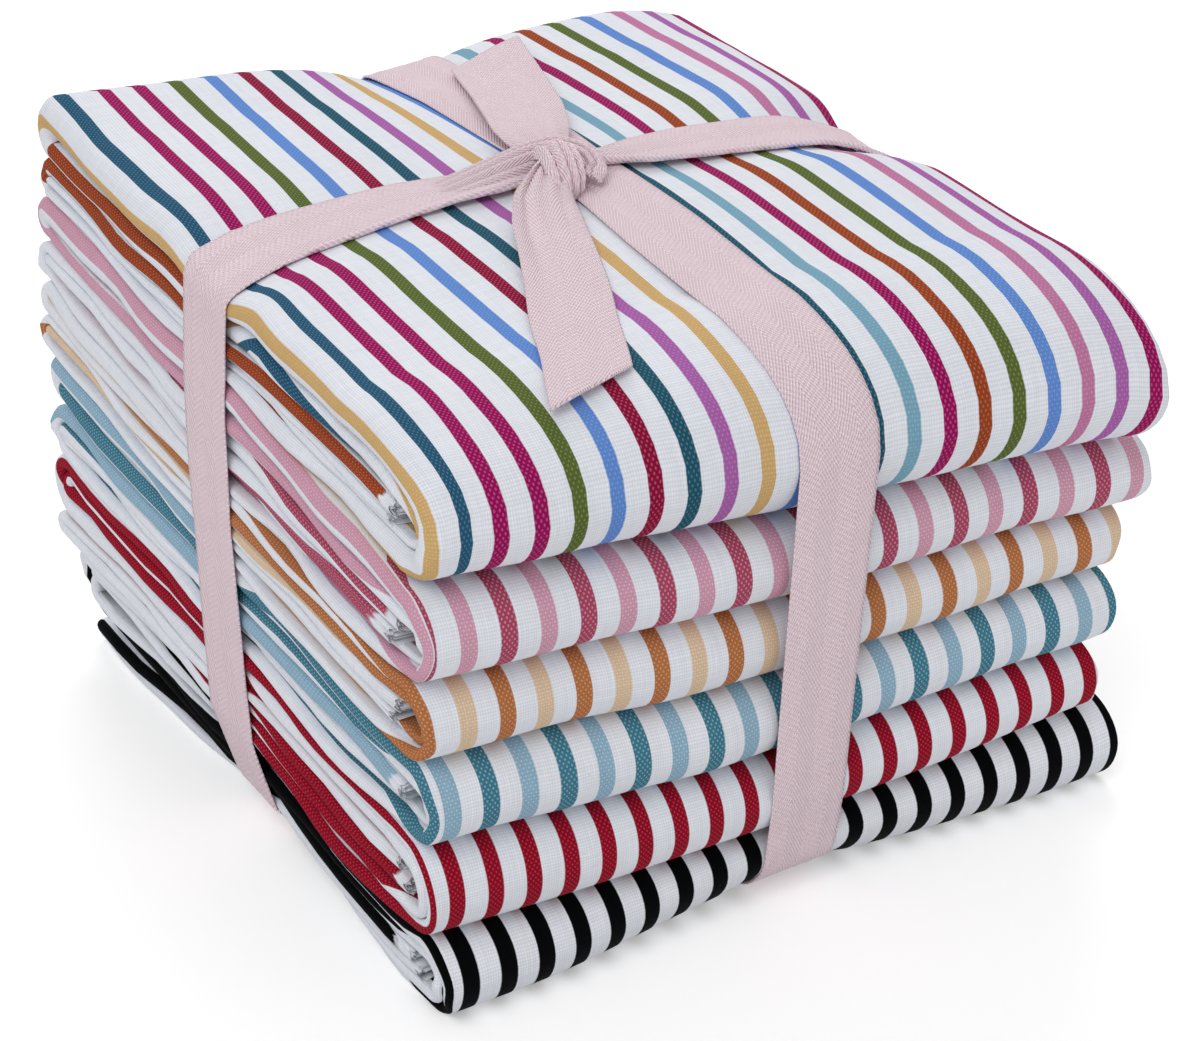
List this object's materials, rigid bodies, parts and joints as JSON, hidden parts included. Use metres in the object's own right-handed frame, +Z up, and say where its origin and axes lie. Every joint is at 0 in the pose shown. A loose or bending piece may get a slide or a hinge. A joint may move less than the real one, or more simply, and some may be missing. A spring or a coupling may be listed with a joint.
{
  "type": "tied fabric bundle",
  "caption": "Stack of folded striped cotton cuts, tied crosswise with a twill tape that is knotted on top",
  "frame": {"origin": "centre of the underside of the bounding box, on the surface the bundle rests on", "axes": "+X along the fold lines towards the right-hand end, +Y from the folded front edge to the rear, +Z up"},
  "size_m": [0.1486, 0.1624, 0.1231],
  "materials": {
    "cotton_black": "plain weave, black stripes on white",
    "cotton_red": "plain weave, red stripes on white",
    "cotton_teal": "plain weave, teal and light blue stripes on white",
    "cotton_rust": "plain weave, rust and tan stripes on white",
    "cotton_rose": "plain weave, rose and pink stripes on white",
    "cotton_multi": "plain weave, stripes of many colours on white",
    "tape": "herringbone twill tape, pale pink"
  },
  "bodies": {
    "root": {"cloth_black": "cotton_black", "cloth_red": "cotton_red", "cloth_teal": "cotton_teal", "cloth_rust": "cotton_rust", "cloth_rose": "cotton_rose", "cloth_multi": "cotton_multi", "tape_along": "tape", "tape_across": "tape", "tape_knot": "tape", "tail_front": "tape", "tail_back": "tape"}
  },
  "joints": []
}
